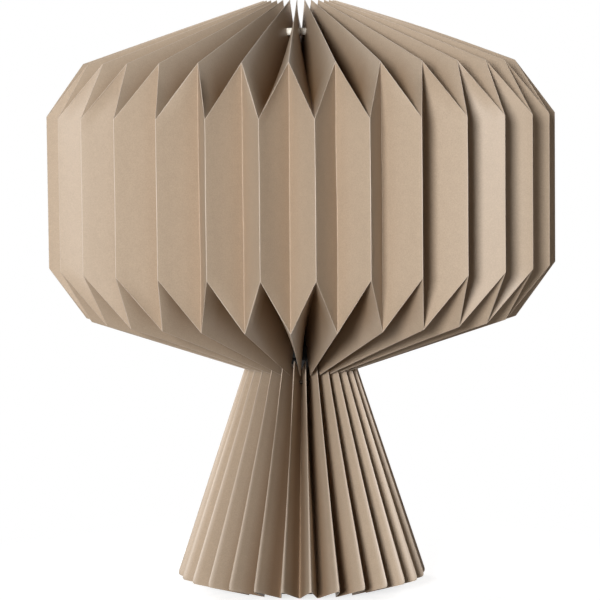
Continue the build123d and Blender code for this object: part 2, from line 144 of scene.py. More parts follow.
class SkirtSizes(bpy.types.PropertyGroup):
    """Pleated skirt of the foot"""

    ridge_r: length("Ridge radius", "Ridges at the hem", 0.0868)
    ridge_z: length("Ridge height", "Ridges at the hem", 0.0092)
    valley_r: length("Valley radius", "Valleys at the hem", 0.0572)
    hem_z: length("Hem height", "Valleys at the hem", 0.0006)
    neck_ridge_r: length("Neck ridge radius", "Ridges at the neck", 0.0363)
    neck_ridge_z: length("Neck ridge height", "Ridges at the neck", 0.160)
    neck_valley_r: length("Neck valley radius", "Valleys at the neck", 0.0088)
    neck_valley_z: length("Neck valley height", "Valleys at the neck", 0.1511)
    hem_fold: length("Hem fold", "Reach of a round fold at the hem", 0.008)
    neck_fold: length("Neck fold", "Reach of a round fold at the neck", 0.0038)
    valley_share: amount("Valley fold", "Reach of a valley's fold, as a share of a ridge's", 0.35)
    hem_lean: length("Hem lean", "How far the hem's ridges stand out to the left", 0.0019)
    neck_lean: length("Neck lean", "How far the neck's ridges stand out to the left", 0.001)
    hem_round: length("Hem corner", "How round the hem's corners have worn", 0.0022)
    hem_band: amount("Hem band", "Share of the skirt's height that the worn corners take", 0.03)
    hem_droop: length("Hem droop", "How much lower the hem's ridges hang at the sides", 0.0014)
    droop_lean: amount("Droop lean", "How much more of that droop the right side has", 0.4)
    bunching: amount("Bunching", "How much the hem opens at the front", 0.075)
    turn: angle("Turn", "How far the hem has slipped round", -0.65)
    # Pale fold marks: partly wear of the pressed folds, partly painted highlight along them.
    wear_and_highlight: amount("Wear", "How pale the folds have worn", 0.5)
    inner_wear_and_highlight: amount("Inner wear", "Wear of a valley, as a share of a ridge's", 0.1)
    # Painted shadow: how the dark colour comes in towards the skirt's valleys.
    deep: amount("Depth", "How fast the panels deepen towards the valleys", 1.3)
    spared: amount("Spared", "How much of that depth the panels are spared", 0.22)
    deepest: amount("Deepest", "Most of the deep colour that a valley takes", 0.55)


class CordSizes(bpy.types.PropertyGroup):
    """Drawcords"""

    crown_r: length("Crown ring", "Radius of the crown cord's ring", 0.0405)
    crown_z: length("Crown height", "Height of the crown cord", 0.3835)
    crown_d: length("Crown cord", "Diameter of the crown cord", 0.0052)
    crown_plaits: count("Crown plaits", "Plaits around the crown cord's ring", 72)
    mouth_r: length("Mouth ring", "Radius of the mouth cord's ring", 0.0325)
    mouth_z: length("Mouth height", "Height of the mouth cord", 0.169)
    mouth_turns: count("Mouth turns", "Turns of the strands around the mouth cord's ring", 34)
    neck_r: length("Neck ring", "Radius of the neck cord's ring", 0.020)
    neck_z: length("Neck height", "Height of the neck cord", 0.144)
    neck_turns: count("Neck turns", "Turns of the strands around the neck cord's ring", 21)
    thin_d: length("Thin cord", "Diameter of the mouth and neck cords", 0.0024)
    strands: count("Strands", "Strands in the mouth and neck cords", 3)


class ThreadSizes(bpy.types.PropertyGroup):
    """Threads of the lampholder and the bulb"""

    holder_r: length("Holder radius", "Lampholder's threaded body", 0.014)
    holder_low: length("Holder foot", "Foot of the lampholder's body", 0.173)
    holder_high: length("Holder top", "Top of the lampholder's body", 0.206)
    holder_wall: length("Holder wall", "Wall of the lampholder's body", 0.0024)
    holder_lip: length("Holder lip", "Thickness of the lip at the top", 0.0015)
    holder_lip_r: length("Holder mouth", "Radius of the opening in the lip", 0.0086)
    holder_plain: length("Holder plain", "Plain foot below the shade rings' thread", 0.009)
    holder_pitch: length("Holder pitch", "Pitch of the shade rings' thread", 0.002)
    holder_depth: length("Holder thread", "Depth of the shade rings' thread", 0.0006)
    cap_r: length("Cap radius", "Bulb's screw cap", 0.0069)
    cap_low: length("Cap foot", "Foot of the bulb's screw cap", 0.192)
    cap_high: length("Cap top", "Top of the bulb's screw cap", 0.214)
    cap_sheet: length("Cap sheet", "Thickness of the cap's sheet", 0.0004)
    cap_hole_r: length("Cap hole", "Radius of the hole in the cap's foot", 0.0005)
    cap_foot_r: length("Cap foot radius", "Flat of the cap's foot", 0.0052)
    cap_taper: length("Cap taper", "Height of the tapered foot", 0.0017)
    cap_band: length("Cap band", "Plain band above the taper, twice as high outside", 0.0001)
    cap_collar: length("Cap collar", "Plain collar above the thread", 0.0045)
    cap_step: length("Cap step", "Step where the bore narrows", 0.0005)
    cap_pitch: length("Cap pitch", "Rise of the bulb for one turn", 0.00282)
    cap_depth: length("Cap thread", "Depth of the rolled thread", 0.0006)


class Colours(bpy.types.PropertyGroup):
    """Finishes"""

    paper: colour("Paper", "Taupe of the paper", (0.445, 0.35, 0.26))
    # Painted shadow: darker paper laid into the folds' recesses, where shade falls.
    paper_painted_shadow: colour("Deep paper", "Unfaded paper inside the folds", (0.2, 0.105, 0.042))
    # Pale fold colour: partly fibre wear on a pressed fold, partly a painted highlight along it.
    paper_fold_wear_and_highlight: colour("Pressed fold", "Paper where a fold has opened its fibres", (0.66, 0.575, 0.49))
    cream_cord: colour("Cream cord", "Crown drawcord", (0.87, 0.83, 0.74))
    # Painted shade: a taupe cord darkened to near black to read as the shade of the gap it sits in.
    taupe_cord: colour("Taupe cord", "Mouth and neck drawcords", (0.05, 0.038, 0.028))
    powder_coat: colour("Powder coat", "Base plate, stem and collar", (0.02, 0.019, 0.018))
    rubber: colour("Rubber", "Feet", (0.03, 0.03, 0.03))
    zinc: colour("Zinc", "Rod, nut and washer", (0.62, 0.62, 0.6))
    moulding: colour("Moulding", "Lampholder, rings and bushing", (0.018, 0.017, 0.017))
    ceramic: colour("Ceramic", "Lampholder's insert", (0.8, 0.78, 0.73))
    brass: colour("Brass", "Contacts", (0.72, 0.52, 0.22))
    nickel: colour("Nickel", "Bulb's cap and filament supports", (0.7, 0.69, 0.66))
    black_glass: colour("Black glass", "Bulb's insulator", (0.03, 0.025, 0.035))
    phosphor: colour("Phosphor", "Filaments", (0.9, 0.66, 0.16))
    floor: colour("Floor", "Pale floor", (0.38, 0.33, 0.28))
    floor_shadow: colour("Floor shadow", "Floor near the foot, under the shadow", (0.6, 0.6, 0.6))
    fill: colour("Fill", "Light from all around", (1, 0.985, 0.96))


class StageSizes(bpy.types.PropertyGroup):
    """Camera, lights and floor"""

    distance: length("Camera distance", "Camera in front of the lamp's axis", 2.0035)
    height: length("Camera height", "Camera above the table", 0.36257)
    aside: length("Camera aside", "Camera to the side of the lamp's axis", -0.00126)
    pitch: angle("Pitch", "Camera tilt down", 4.67)
    roll: angle("Roll", "Camera roll", -0.59)
    lens: amount("Lens", "Focal length in mm on a 36 mm sensor", 174.32)
    aim: length("Aim", "Height that the lights point at", 0.24)
    key_place: position("Key place", "Place of the key light", (-1.29, -4.81, 1.07))
    key_size: length("Key size", "Diameter of the key light", 1.3)
    key_power: power("Key", "Power of the key light", 278.0)
    back_place: position("Back place", "Right back light; the left one mirrors it", (3.2, 3.4, 1.1))
    back_size: length("Back size", "Diameter of each back light", 1.8)
    back_power: power("Back", "Power of each back light", 190.0)
    fill: amount("Fill", "Strength of the light from all around", 0.01)
    floor_half: length("Floor", "Half the floor's side", 6.0)
    floor_glow: amount("Floor glow", "Light of the floor near the foot, besides what falls on it", 0.74)
    shadow_near: length("Shadow near", "Where the floor's shadow starts to fade", 0.09)
    shadow_far: length("Shadow far", "Where the floor is plain white", 0.3)


# Shader helpers


def new_material(name):
    material = bpy.data.materials.new(name)
    material.use_nodes = True
    tree = material.node_tree
    shader = tree.nodes["Principled BSDF"]
    return material, tree, shader


def add_node(tree, kind, **settings):
    """New node with its inputs and settings given by name."""
    node = tree.nodes.new(kind)
    for key, value in settings.items():
        if key in node.inputs:
            node.inputs[key].default_value = value
        else:
            setattr(node, key, value)
    return node


def grain(tree, scale, detail=4.0):
    """Noise over the object's own coordinates, in features per metre."""
    place = add_node(tree, "ShaderNodeTexCoord")
    texture = add_node(tree, "ShaderNodeTexNoise", Scale=scale, Detail=detail)
    tree.links.new(place.outputs["Object"], texture.inputs["Vector"])
    return texture.outputs["Fac"]


def ramp(tree, source, low, high, start=0.35, end=0.65):
    """Colour that runs from low to high as the source rises."""
    node = add_node(tree, "ShaderNodeValToRGB")
    stops = node.color_ramp.elements
    for stop, where, tint in ((stops[0], start, low), (stops[1], end, high)):
        stop.position = where
        stop.color = (*tint, 1)
    tree.links.new(source, node.inputs["Fac"])
    return node.outputs["Color"]


def mottled(tree, source, tint, contrast):
    """The tint, a little darker and paler by turns."""
    return ramp(tree, source, shade_of(tint, 1 - contrast), shade_of(tint, 1 + contrast))


def spread(tree, source, low, high):
    """Value that runs from low to high as the noise rises through its usual range."""
    node = add_node(tree, "ShaderNodeMapRange")
    for key, value in (("From Min", 0.3), ("From Max", 0.7), ("To Min", low), ("To Max", high)):
        node.inputs[key].default_value = value
    tree.links.new(source, node.inputs["Value"])
    return node.outputs["Result"]


def bump(tree, source, strength, depth):
    """Normal of a surface with the source as its relief."""
    node = add_node(tree, "ShaderNodeBump", Strength=strength, Distance=depth)
    tree.links.new(source, node.inputs["Height"])
    return node.outputs["Normal"]


def blend(tree, factor, a, b, mode="MIX"):
    """Mix of two colours, each a socket or a plain tint."""
    node = add_node(tree, "ShaderNodeMix", data_type="RGBA", blend_type=mode)
    sockets = {s.identifier: s for s in node.inputs}
    for key, value in (("Factor_Float", factor), ("A_Color", a), ("B_Color", b)):
        if isinstance(value, bpy.types.NodeSocket):
            tree.links.new(value, sockets[key])
        else:
            sockets[key].default_value = value
    return next(s for s in node.outputs if s.identifier == "Result_Color")


def shade_of(tint, factor):
    return tuple(min(1.0, c * factor) for c in tint)


def paper(name, colours, wear_and_highlight):
    """Satin uncoated paper with fine fibres; paler on a fold, partly pressed-fold wear and partly painted
    highlight, and darker inside the folds as painted shadow.
    """
    material, tree, shader = new_material(name)
    cloud = mottled(tree, grain(tree, scale=160, detail=3), colours.paper, contrast=0.015)
    fibre = grain(tree, scale=1250, detail=5)
    dark_fibre, pale_fibre = (0.92,) * 3, (1.07,) * 3
    speck = ramp(tree, fibre, dark_fibre, pale_fibre, start=0.3, end=0.7)
    # Painted shadow: the paper is mixed towards a dark colour inside the folds.
    painted_shadow = add_node(tree, "ShaderNodeAttribute", attribute_name="painted_shadow").outputs["Fac"]
    body = blend(tree, painted_shadow, cloud, (*colours.paper_painted_shadow, 1))
    body = blend(tree, 1.0, body, speck, "MULTIPLY")
    # Pale fold marks: partly pressed-fold wear, partly a painted highlight along the folds.
    fold = add_node(tree, "ShaderNodeAttribute", attribute_name="fold").outputs["Fac"]
    worn = add_node(tree, "ShaderNodeMath", operation="MULTIPLY")
    worn.inputs[1].default_value = wear_and_highlight
    tree.links.new(fold, worn.inputs[0])
    faded = blend(tree, worn.outputs[0], body, (*colours.paper_fold_wear_and_highlight, 1))
    tree.links.new(faded, shader.inputs["Base Color"])
    tree.links.new(spread(tree, fibre, low=0.38, high=0.48), shader.inputs["Roughness"])
    shader.inputs["Specular IOR Level"].default_value = 0.28
    tree.links.new(bump(tree, fibre, strength=0.16, depth=0.0001), shader.inputs["Normal"])
    return material


def finish(name, tint, scale, rough, contrast=0.08, metal=0.0, relief=0.1, depth=0.0001, gloss=0.5):
    """Plain made finish: slight mottling, uneven gloss and a fine surface relief."""
    material, tree, shader = new_material(name)
    texture = grain(tree, scale)
    tree.links.new(mottled(tree, texture, tint, contrast), shader.inputs["Base Color"])
    tree.links.new(spread(tree, texture, rough * 0.85, min(1, rough * 1.15)), shader.inputs["Roughness"])
    shader.inputs["Metallic"].default_value = metal
    shader.inputs["Specular IOR Level"].default_value = gloss
    tree.links.new(bump(tree, texture, relief, depth), shader.inputs["Normal"])
    return material


def plated(name, tint, scale, rough, contrast, relief):
    """Bright metal with a very fine relief."""
    return finish(name, tint, scale, rough, contrast, metal=1.0, relief=relief, depth=0.00005)


def clear_glass(name):
    """Blown glass with a faint unevenness."""
    material, tree, shader = new_material(name)
    texture = grain(tree, scale=60, detail=2)
    thick, thin = (0.93, 0.95, 0.95), (0.98, 0.99, 0.99)
    tree.links.new(ramp(tree, texture, thick, thin), shader.inputs["Base Color"])
    tree.links.new(spread(tree, texture, low=0.0, high=0.03), shader.inputs["Roughness"])
    shader.inputs["Transmission Weight"].default_value = 1.0
    shader.inputs["IOR"].default_value = 1.47
    return material


# Mesh helpers


def new_piece(name, verts, faces, material, body, replaced, sharp=50):
    """New smooth piece that rides on a body in the place of its solids, sharp past an angle in degrees."""
    mesh = bpy.data.meshes.new(name)
    mesh.from_pydata(np.asarray(verts).tolist(), [], faces)
    mesh.validate()
    mesh.shade_smooth()
    mesh.set_sharp_from_angle(angle=math.radians(sharp))
    mesh.materials.append(material)
    piece = bpy.data.objects.new(name, mesh)
    bpy.context.scene.collection.objects.link(piece)
    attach(piece, body)
    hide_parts(*replaced)
    return piece


def dress(material, *nodes):
    """Gives carried-over solids their finish."""
    for node in nodes:
        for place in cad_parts[node].material_slots:
            place.material = material


def eased(corners, reach, steps):
    """Points (radius, height) along a fold whose corners are eased, and how near each is to a corner."""
    corners = [np.array(c, float) for c in corners]
    ways = [(b - a) / np.linalg.norm(b - a) for a, b in zip(corners, corners[1:])]
    points, crease = [corners[0]], [0.0]
    for k, rows in enumerate(steps):
        stop = corners[k + 1] - ways[k] * (reach if k + 1 < len(steps) else 0)
        start = points[-1]
        for row in range(1, rows + 1):
            points.append(start + (stop - start) * row / rows)
            crease.append(0.0)
        if k + 1 < len(steps):
            for t in np.linspace(0, 1, ARC + 1)[1:]:
                bend = ways[k + 1] * t**2 - ways[k] * (1 - t) ** 2
                points.append(corners[k + 1] + bend * reach)
                crease.append(1 - abs(2 * t - 1))
    return np.array(points), np.array(crease)


def stray(column, heights, way):
    """Slow wandering of one fold along its height, from -1 to 1."""
    return np.array([noise.noise(Vector((column * FOLD_STEP, h * FOLD_WAVES, way))) for h in heights])


def fold_corners(folds, lines, bearings):
    """Corner points of the folds by column and row, from each fold's radii, heights and bearings."""
    corner = []
    for c, (line, bearing) in enumerate(zip(lines, bearings)):
        wander = folds.wander * (folds.loose if c % 2 else folds.steady)
        round_to = bearing + wander * stray(c, line[:, 1], SIDEWAYS) / line[:, 0]
        radius = line[:, 0] + c % 2 * wander * stray(c, line[:, 1], INWARDS)
        corner.append(np.stack((radius * np.sin(round_to), -radius * np.cos(round_to), line[:, 1]), 1))
    return np.array(corner)


def pleat_ring(folds, corner, crease, reach, mark):
    """Outer skin of a ring of pleats, eased over each fold: points by column and row, and their pale fold
    marks, partly wear and partly painted highlight.
    """
    columns = len(corner)
    back, ahead = np.roll(corner, 1, 0) - corner, np.roll(corner, -1, 0) - corner
    back *= reach[..., None] / np.linalg.norm(back, axis=2, keepdims=True)
    ahead *= reach[..., None] / np.linalg.norm(ahead, axis=2, keepdims=True)
    corner = corner - (back + ahead) / 4
    skin, fold = [], []
    for c in range(columns):
        for t in np.linspace(0, 1, ARC + 1):
            skin.append(corner[c] + back[c] * (1 - t) ** 2 + ahead[c] * t**2)
            fold.append(np.maximum(crease, mark[c] * (1 - abs(2 * t - 1) ** folds.softness)))
        start = corner[c] + ahead[c]
        run = corner[(c + 1) % columns] + back[(c + 1) % columns] - start
        face = np.cross(run, np.gradient(start, axis=0))
        face /= np.linalg.norm(face, axis=1, keepdims=True)
        swell = folds.bow * stray(c, start[:, 2], BOWING) * (1 - crease)
        for f in np.linspace(0, 1, ACROSS + 2)[1:-1]:
            skin.append(start + run * f + face * (4 * f * (1 - f) * swell)[:, None])
            fold.append(crease)
    return np.array(skin), np.array(fold)


def towards_odd(columns):
    """How far each column of a skin lies from an even fold towards an odd one, from 0 to 1."""
    flat = np.linspace(0, 1, ACROSS + 2)[1:-1]
    pair = np.concatenate((np.zeros(ARC + 1), flat, np.ones(ARC + 1), 1 - flat))
    return np.tile(pair, columns // 2)[:, None]


def skin_normals(skin):
    """Outward unit normals of a closed ring of columns."""
    around = np.roll(skin, -1, 0) - np.roll(skin, 1, 0)
    along = np.gradient(skin, axis=1)
    normal = np.cross(around, along)
    return normal / np.linalg.norm(normal, axis=2, keepdims=True)


def cut_sheet(skin, inside, first, last):
    """Closed thin solid of the columns from one seam to the next."""
    columns = np.arange(first, last + 1) % len(skin)
    rows, width = skin.shape[1], len(columns)
    verts = np.concatenate((skin[columns].reshape(-1, 3), inside[columns].reshape(-1, 3)))
    index = np.arange(2 * width * rows).reshape(2, width, rows)

    def strip(a, b):
        return [[int(i) for i in q] for q in zip(a[:-1], b[:-1], b[1:], a[1:])]

    faces = []
    for c in range(width - 1):
        faces += strip(index[0, c], index[0, c + 1])
        faces += strip(index[1, c + 1], index[1, c])
    for first_edge, last_edge in ((index[:, :, 0], index[:, :, -1]), (index[:, 0], index[:, -1])):
        faces += strip(first_edge[1], first_edge[0])
        faces += strip(last_edge[0], last_edge[1])
    return verts, faces, columns


def paper_sheets(name, folds, skin, marks, material, body, node):
    """The ring of pleats as glued sheets, each seam along the middle of a ridge."""
    inside = skin - skin_normals(skin) * folds.thickness
    per_sheet = len(skin) // folds.sheets
    for sheet in range(folds.sheets):
        first = sheet * per_sheet + ARC // 2
        verts, faces, columns = cut_sheet(skin, inside, first, first + per_sheet)
        label = f"{node}_{sheet + 1}"
        piece = new_piece(f"{name}_{sheet + 1}", verts, faces, material, body, [label])
        for key, values in marks.items():
            mark = piece.data.attributes.new(key, "FLOAT", "POINT")
            mark.data.foreach_set("value", np.tile(values[columns].reshape(-1), 2).astype(np.float32))


def ring_faces(rings, sides, base=0):
    """Faces between the rings of points of a tube that closes on itself."""
    faces = []
    for k in range(rings):
        a, b = base + k * sides, base + (k + 1) % rings * sides
        for s in range(sides):
            t = (s + 1) % sides
            faces.append([a + s, b + s, b + t, a + t])
    return faces


def twisted_ring(radius, height, diameter, strands, turns, rounds=260, sides=12):
    """Verts and faces of a laid cord that closes on itself."""
    lay = diameter * STRAND_OUT
    thick = diameter / 2 - lay
    up = Vector((0, 0, 1))
    verts, faces = [], []
    for strand in range(strands):
        faces += ring_faces(rounds, sides, len(verts))
        for k in range(rounds):
            bearing = 2 * math.pi * k / rounds
            twist = turns * bearing + 2 * math.pi * strand / strands
            out = Vector((math.cos(bearing), math.sin(bearing), 0))
            centre = out * (radius + lay * math.cos(twist)) + up * (height + lay * math.sin(twist))
            for s in range(sides):
                a = 2 * math.pi * s / sides
                verts.append(centre + out * (thick * math.cos(a)) + up * (thick * math.sin(a)))
    return verts, faces


def braided_ring(radius, height, diameter, plaits, rounds=600, sides=32):
    """Verts and faces of a round braided cord that closes on itself."""
    up = Vector((0, 0, 1))
    verts = []
    for k in range(rounds):
        bearing = 2 * math.pi * k / rounds
        out = Vector((math.cos(bearing), math.sin(bearing), 0))
        for s in range(sides):
            a = 2 * math.pi * s / sides
            along, across = plaits * bearing, BRAID_ENDS * a
            weave = math.sin(across + along) * math.sin(across - along)
            thick = diameter / 2 * (1 - BRAID_DEPTH + BRAID_DEPTH * weave)
            verts.append(out * (radius + thick * math.cos(a)) + up * (height + thick * math.sin(a)))
    return verts, ring_faces(rounds, sides)


def threaded_sleeve(radius, low, high, pitch, depth, foot, bore, sides=96):
    """Verts and faces of a sleeve with a round thread from low to high, between its foot and its bore."""
    heights = np.linspace(low, high, int(THREAD_ROWS * (high - low) / pitch))
    ease = np.clip(np.minimum(heights - low, high - heights) / pitch, 0, 1)
    verts = []
    for k in range(sides):
        bearing = 2 * math.pi * k / sides
        groove = 0.5 - 0.5 * np.cos(2 * math.pi * heights / pitch - bearing)
        profile = [*foot, *zip(radius - depth * ease * groove, heights), *bore]
        verts += [(r * math.cos(bearing), r * math.sin(bearing), z) for r, z in profile]
    return verts, ring_faces(sides, len(profile))


# Pieces


class LAMP_OT_shade(bpy.types.Operator):
    """Fold the lantern shade's three glued sheets"""

    bl_idname = "lamp.shade"
    bl_label = "Shade"

    def execute(self, context):
        folds, s, tint = context.scene.lamp_folds, context.scene.lamp_shade, context.scene.lamp_colours
        low_end, high_end = s.drum_low - s.reverse, s.drum_high + s.reverse
        ridge, crease = eased(
            [
                (s.mouth_notch_r, s.mouth_notch_z),
                (s.ridge_r, s.drum_low),
                (s.ridge_r, s.drum_high),
                (s.crown_notch_r, s.crown_notch_z),
            ],
            s.fold,
            SHADE_ROWS,
        )
        valley, _ = eased(
            [
                (s.mouth_tip_r, s.mouth_tip_z),
                (s.valley_r, low_end),
                (s.valley_r, high_end),
                (s.crown_tip_r, s.crown_tip_z),
            ],
            s.fold,
            SHADE_ROWS,
        )

        columns = np.arange(2 * folds.pleats)
        even = folds.first_ridge + math.pi * columns / folds.pleats
        climb = np.clip((valley[:, 1] - high_end) / (s.crown_tip_z - high_end), 0, 1)
        behind = ((1 - np.cos(even)) / 2) ** 2
        drawn_round = s.crown_turn * behind[:, None] * climb**2
        bearings = (even + s.bunching * np.sin(even))[:, None] + drawn_round
        swell = s.crown_swell * np.sin(math.pi * climb)
        lines = []
        for c in columns:
            line = (valley if c % 2 else ridge).copy()
            line[:, 1] += swell * (1 + s.swell_lean * math.sin(even[c]))
            lines.append(line)
        corner = fold_corners(folds, lines, bearings)

        drum = (ridge[:, 1] > s.drum_low) & (ridge[:, 1] < s.drum_high)
        inner = np.where(columns[:, None] % 2, drum, ~drum)
        reach = np.where(inner, s.soft_fold, s.fold)
        # Pale fold marks: partly wear, partly painted highlight.
        mark = np.where(inner, s.inner_wear_and_highlight, 1.0)
        skin, fold = pleat_ring(folds, corner, crease, reach, mark)
        # Painted shadow: darker paper towards the cones' inner folds and the drum's valleys.
        depth = towards_odd(len(columns))
        gathered = (s.valley_r - valley[:, 0]) / (s.valley_r - s.crown_tip_r)
        in_cone = (1 - depth) * np.clip(gathered / s.deep_from, 0, 1)
        in_drum = np.clip(s.drum_deep * depth - s.drum_spared, 0, 1)
        marks = {"fold": fold, "painted_shadow": np.where(drum, in_drum, in_cone)}
        sheet = paper("shade_paper", tint, s.wear_and_highlight)
        paper_sheets("folded_shade", folds, skin, marks, sheet, "shade", "shade_sheet")
        return {"FINISHED"}


class LAMP_OT_skirt(bpy.types.Operator):
    """Fold the skirt's three glued sheets"""

    bl_idname = "lamp.skirt"
    bl_label = "Skirt"

    def execute(self, context):
        folds, s, tint = context.scene.lamp_folds, context.scene.lamp_skirt, context.scene.lamp_colours
        hem, above = np.linspace(0, s.hem_band, HEM_ROWS), np.linspace(s.hem_band, 1, SKIRT_ROWS)
        rise = np.concatenate((hem[:-1], above))
        ridge = np.outer(1 - rise, (s.ridge_r, s.ridge_z))
        ridge += np.outer(rise, (s.neck_ridge_r, s.neck_ridge_z))
        valley = np.outer(1 - rise, (s.valley_r, s.hem_z))
        valley += np.outer(rise, (s.neck_valley_r, s.neck_valley_z))
        worn_corner = 1 - np.clip(rise / s.hem_band, 0, 1)
        ridge[:, 0] -= s.hem_round * (1 - np.sqrt(1 - worn_corner**2))

        columns = np.arange(2 * folds.pleats)
        even = folds.first_ridge + math.pi * columns / folds.pleats
        slip = s.bunching * np.sin(even) + s.turn
        bearings = even[:, None] + slip[:, None] * (1 - rise)
        lean = s.hem_lean + (s.neck_lean - s.hem_lean) * rise
        lines = []
        for c in columns:
            line = (valley if c % 2 else ridge).copy()
            if c % 2 == 0:
                right = math.sin(even[c])
                line[:, 0] -= right * lean
                line[:, 1] -= right**2 * s.hem_droop * (1 + s.droop_lean * right) * (1 - rise)
            lines.append(line)
        corner = fold_corners(folds, lines, bearings)

        reach = np.tile(s.hem_fold + (s.neck_fold - s.hem_fold) * rise, (len(columns), 1))
        reach[1::2] *= s.valley_share
        # Pale fold marks: partly wear, partly painted highlight.
        mark = np.where(columns[:, None] % 2, s.inner_wear_and_highlight, 1.0) * np.ones(len(rise))
        skin, fold = pleat_ring(folds, corner, np.zeros(len(rise)), reach, mark)
        # Painted shadow: darker paper towards the skirt's valleys.
        painted_shadow = np.clip(s.deep * towards_odd(len(columns)) - s.spared, 0, s.deepest)
        marks = {"fold": fold, "painted_shadow": np.tile(painted_shadow, len(rise))}
        sheet = paper("skirt_paper", tint, s.wear_and_highlight)
        paper_sheets("folded_skirt", folds, skin, marks, sheet, "stand", "skirt_sheet")
        return {"FINISHED"}


class LAMP_OT_drawcords(bpy.types.Operator):
    """Lay the three drawcords"""

    bl_idname = "lamp.drawcords"
    bl_label = "Drawcords"

    def execute(self, context):
        c, tint = context.scene.lamp_cords, context.scene.lamp_colours
        cream = finish("cream_cotton", tint.cream_cord, scale=2200, rough=0.7, contrast=0.06, relief=0.3)
        # Painted shade: the mouth and neck cords are darkened to near black, as the shade of the gaps they
        # sit in.
        shadow_dark = finish(
            "shadow_dark_cotton",
            tint.taupe_cord,
            scale=2200,
            rough=0.9,
            contrast=0.2,
            relief=0.5,
            depth=0.0002,
            gloss=0.1,
        )
        verts, faces = braided_ring(c.crown_r, c.crown_z, c.crown_d, c.crown_plaits)
        new_piece("crown_cord", verts, faces, cream, "shade", ["top_drawcord"])
        verts, faces = twisted_ring(c.mouth_r, c.mouth_z, c.thin_d, c.strands, c.mouth_turns)
        new_piece("mouth_cord", verts, faces, shadow_dark, "shade", ["mouth_drawcord"])
        verts, faces = twisted_ring(c.neck_r, c.neck_z, c.thin_d, c.strands, c.neck_turns)
        new_piece("neck_cord", verts, faces, shadow_dark, "stand", ["skirt_drawcord"])
        return {"FINISHED"}


class LAMP_OT_base(bpy.types.Operator):
    """Finish the base plate, its feet, the stem and the shade's collar"""

    bl_idname = "lamp.base"
    bl_label = "Base and stem"

    def execute(self, context):
        tint = context.scene.lamp_colours
        coat = finish(
            "black_powder_coat",
            tint.powder_coat,
            scale=1800,
            rough=0.6,
            contrast=0.2,
            relief=0.35,
            gloss=0.2,
        )
        dress(coat, "base_plate", "stem_sleeve", "shade_collar")
        rubber = finish("black_rubber", tint.rubber, scale=900, rough=0.85, contrast=0.2, relief=0.3)
        dress(rubber, "rubber_feet")
        zinc = plated("zinc_plate", tint.zinc, scale=350, rough=0.35, contrast=0.12, relief=0.08)
        dress(zinc, "threaded_rod", "lower_nut", "lower_washer")
        return {"FINISHED"}


class LAMP_OT_lampholder(bpy.types.Operator):
    """Cut the lampholder's thread and finish the holder, its rings and contacts, and the bushing"""

    bl_idname = "lamp.lampholder"
    bl_label = "Lampholder"

    def execute(self, context):
        t, tint = context.scene.lamp_threads, context.scene.lamp_colours
        moulded = finish(
            "black_moulding", tint.moulding, scale=700, rough=0.5, contrast=0.2, relief=0.15, gloss=0.2
        )
        dress(moulded, "holder_cap", "lower_shade_ring", "upper_shade_ring", "cable_bushing")
        wall, edge = t.holder_r - t.holder_wall, t.holder_high - t.holder_lip
        foot = [(t.holder_r, t.holder_low)]
        lip = [(t.holder_r, t.holder_high), (t.holder_lip_r, t.holder_high), (t.holder_lip_r, edge)]
        bore = [*lip, (wall, edge), (wall, t.holder_low)]
        thread_low = t.holder_low + t.holder_plain
        verts, faces = threaded_sleeve(
            t.holder_r, thread_low, edge, t.holder_pitch, t.holder_depth, foot, bore
        )
        replaced = ["holder_body"]
        new_piece("threaded_holder", verts, faces, moulded, "stand", replaced, sharp=35)
        ceramic = finish("steatite", tint.ceramic, scale=500, rough=0.7, contrast=0.05, relief=0.2)
        dress(ceramic, "holder_insert")
        brass = plated("stamped_brass", tint.brass, scale=420, rough=0.3, contrast=0.12, relief=0.08)
        dress(brass, "terminal_screws", "screw_shell", "centre_contact")
        return {"FINISHED"}


class LAMP_OT_bulb(bpy.types.Operator):
    """Roll the bulb's threaded cap and finish the bulb"""

    bl_idname = "lamp.bulb"
    bl_label = "Bulb"

    def execute(self, context):
        t, tint = context.scene.lamp_threads, context.scene.lamp_colours
        nickel = plated("nickel_plate", tint.nickel, scale=300, rough=0.25, contrast=0.08, relief=0.06)
        dress(nickel, "bulb_tip", "filament_supports")
        low, high, sheet, step = t.cap_low, t.cap_high, t.cap_sheet, t.cap_step
        taper_top, collar_low = low + t.cap_taper, high - t.cap_collar
        foot = [(t.cap_hole_r, low), (t.cap_foot_r, low), (t.cap_r, taper_top)]
        wide, narrow = t.cap_r - sheet, t.cap_r - t.cap_depth - sheet
        bore = [(t.cap_r, high), (wide, high), (wide, collar_low + 2 * step), (narrow, collar_low + step)]
        bore += [(narrow, taper_top + t.cap_band)]
        bore += [(t.cap_foot_r - step, low + sheet), (t.cap_hole_r, low + sheet)]
        thread_low = taper_top + 2 * t.cap_band
        verts, faces = threaded_sleeve(
            t.cap_r, thread_low, collar_low, t.cap_pitch, t.cap_depth, foot, bore, sides=64
        )
        new_piece("screw_cap", verts, faces, nickel, "bulb_screw", ["bulb_cap"], sharp=35)
        insulator = finish("black_glass", tint.black_glass, scale=300, rough=0.2, contrast=0.3)
        dress(insulator, "bulb_insulator")
        dress(clear_glass("bulb_glass"), "glass_globe", "glass_stem")
        phosphor = finish("phosphor", tint.phosphor, scale=1500, rough=0.6, contrast=0.1, relief=0.3)
        dress(phosphor, "led_filaments")
        return {"FINISHED"}


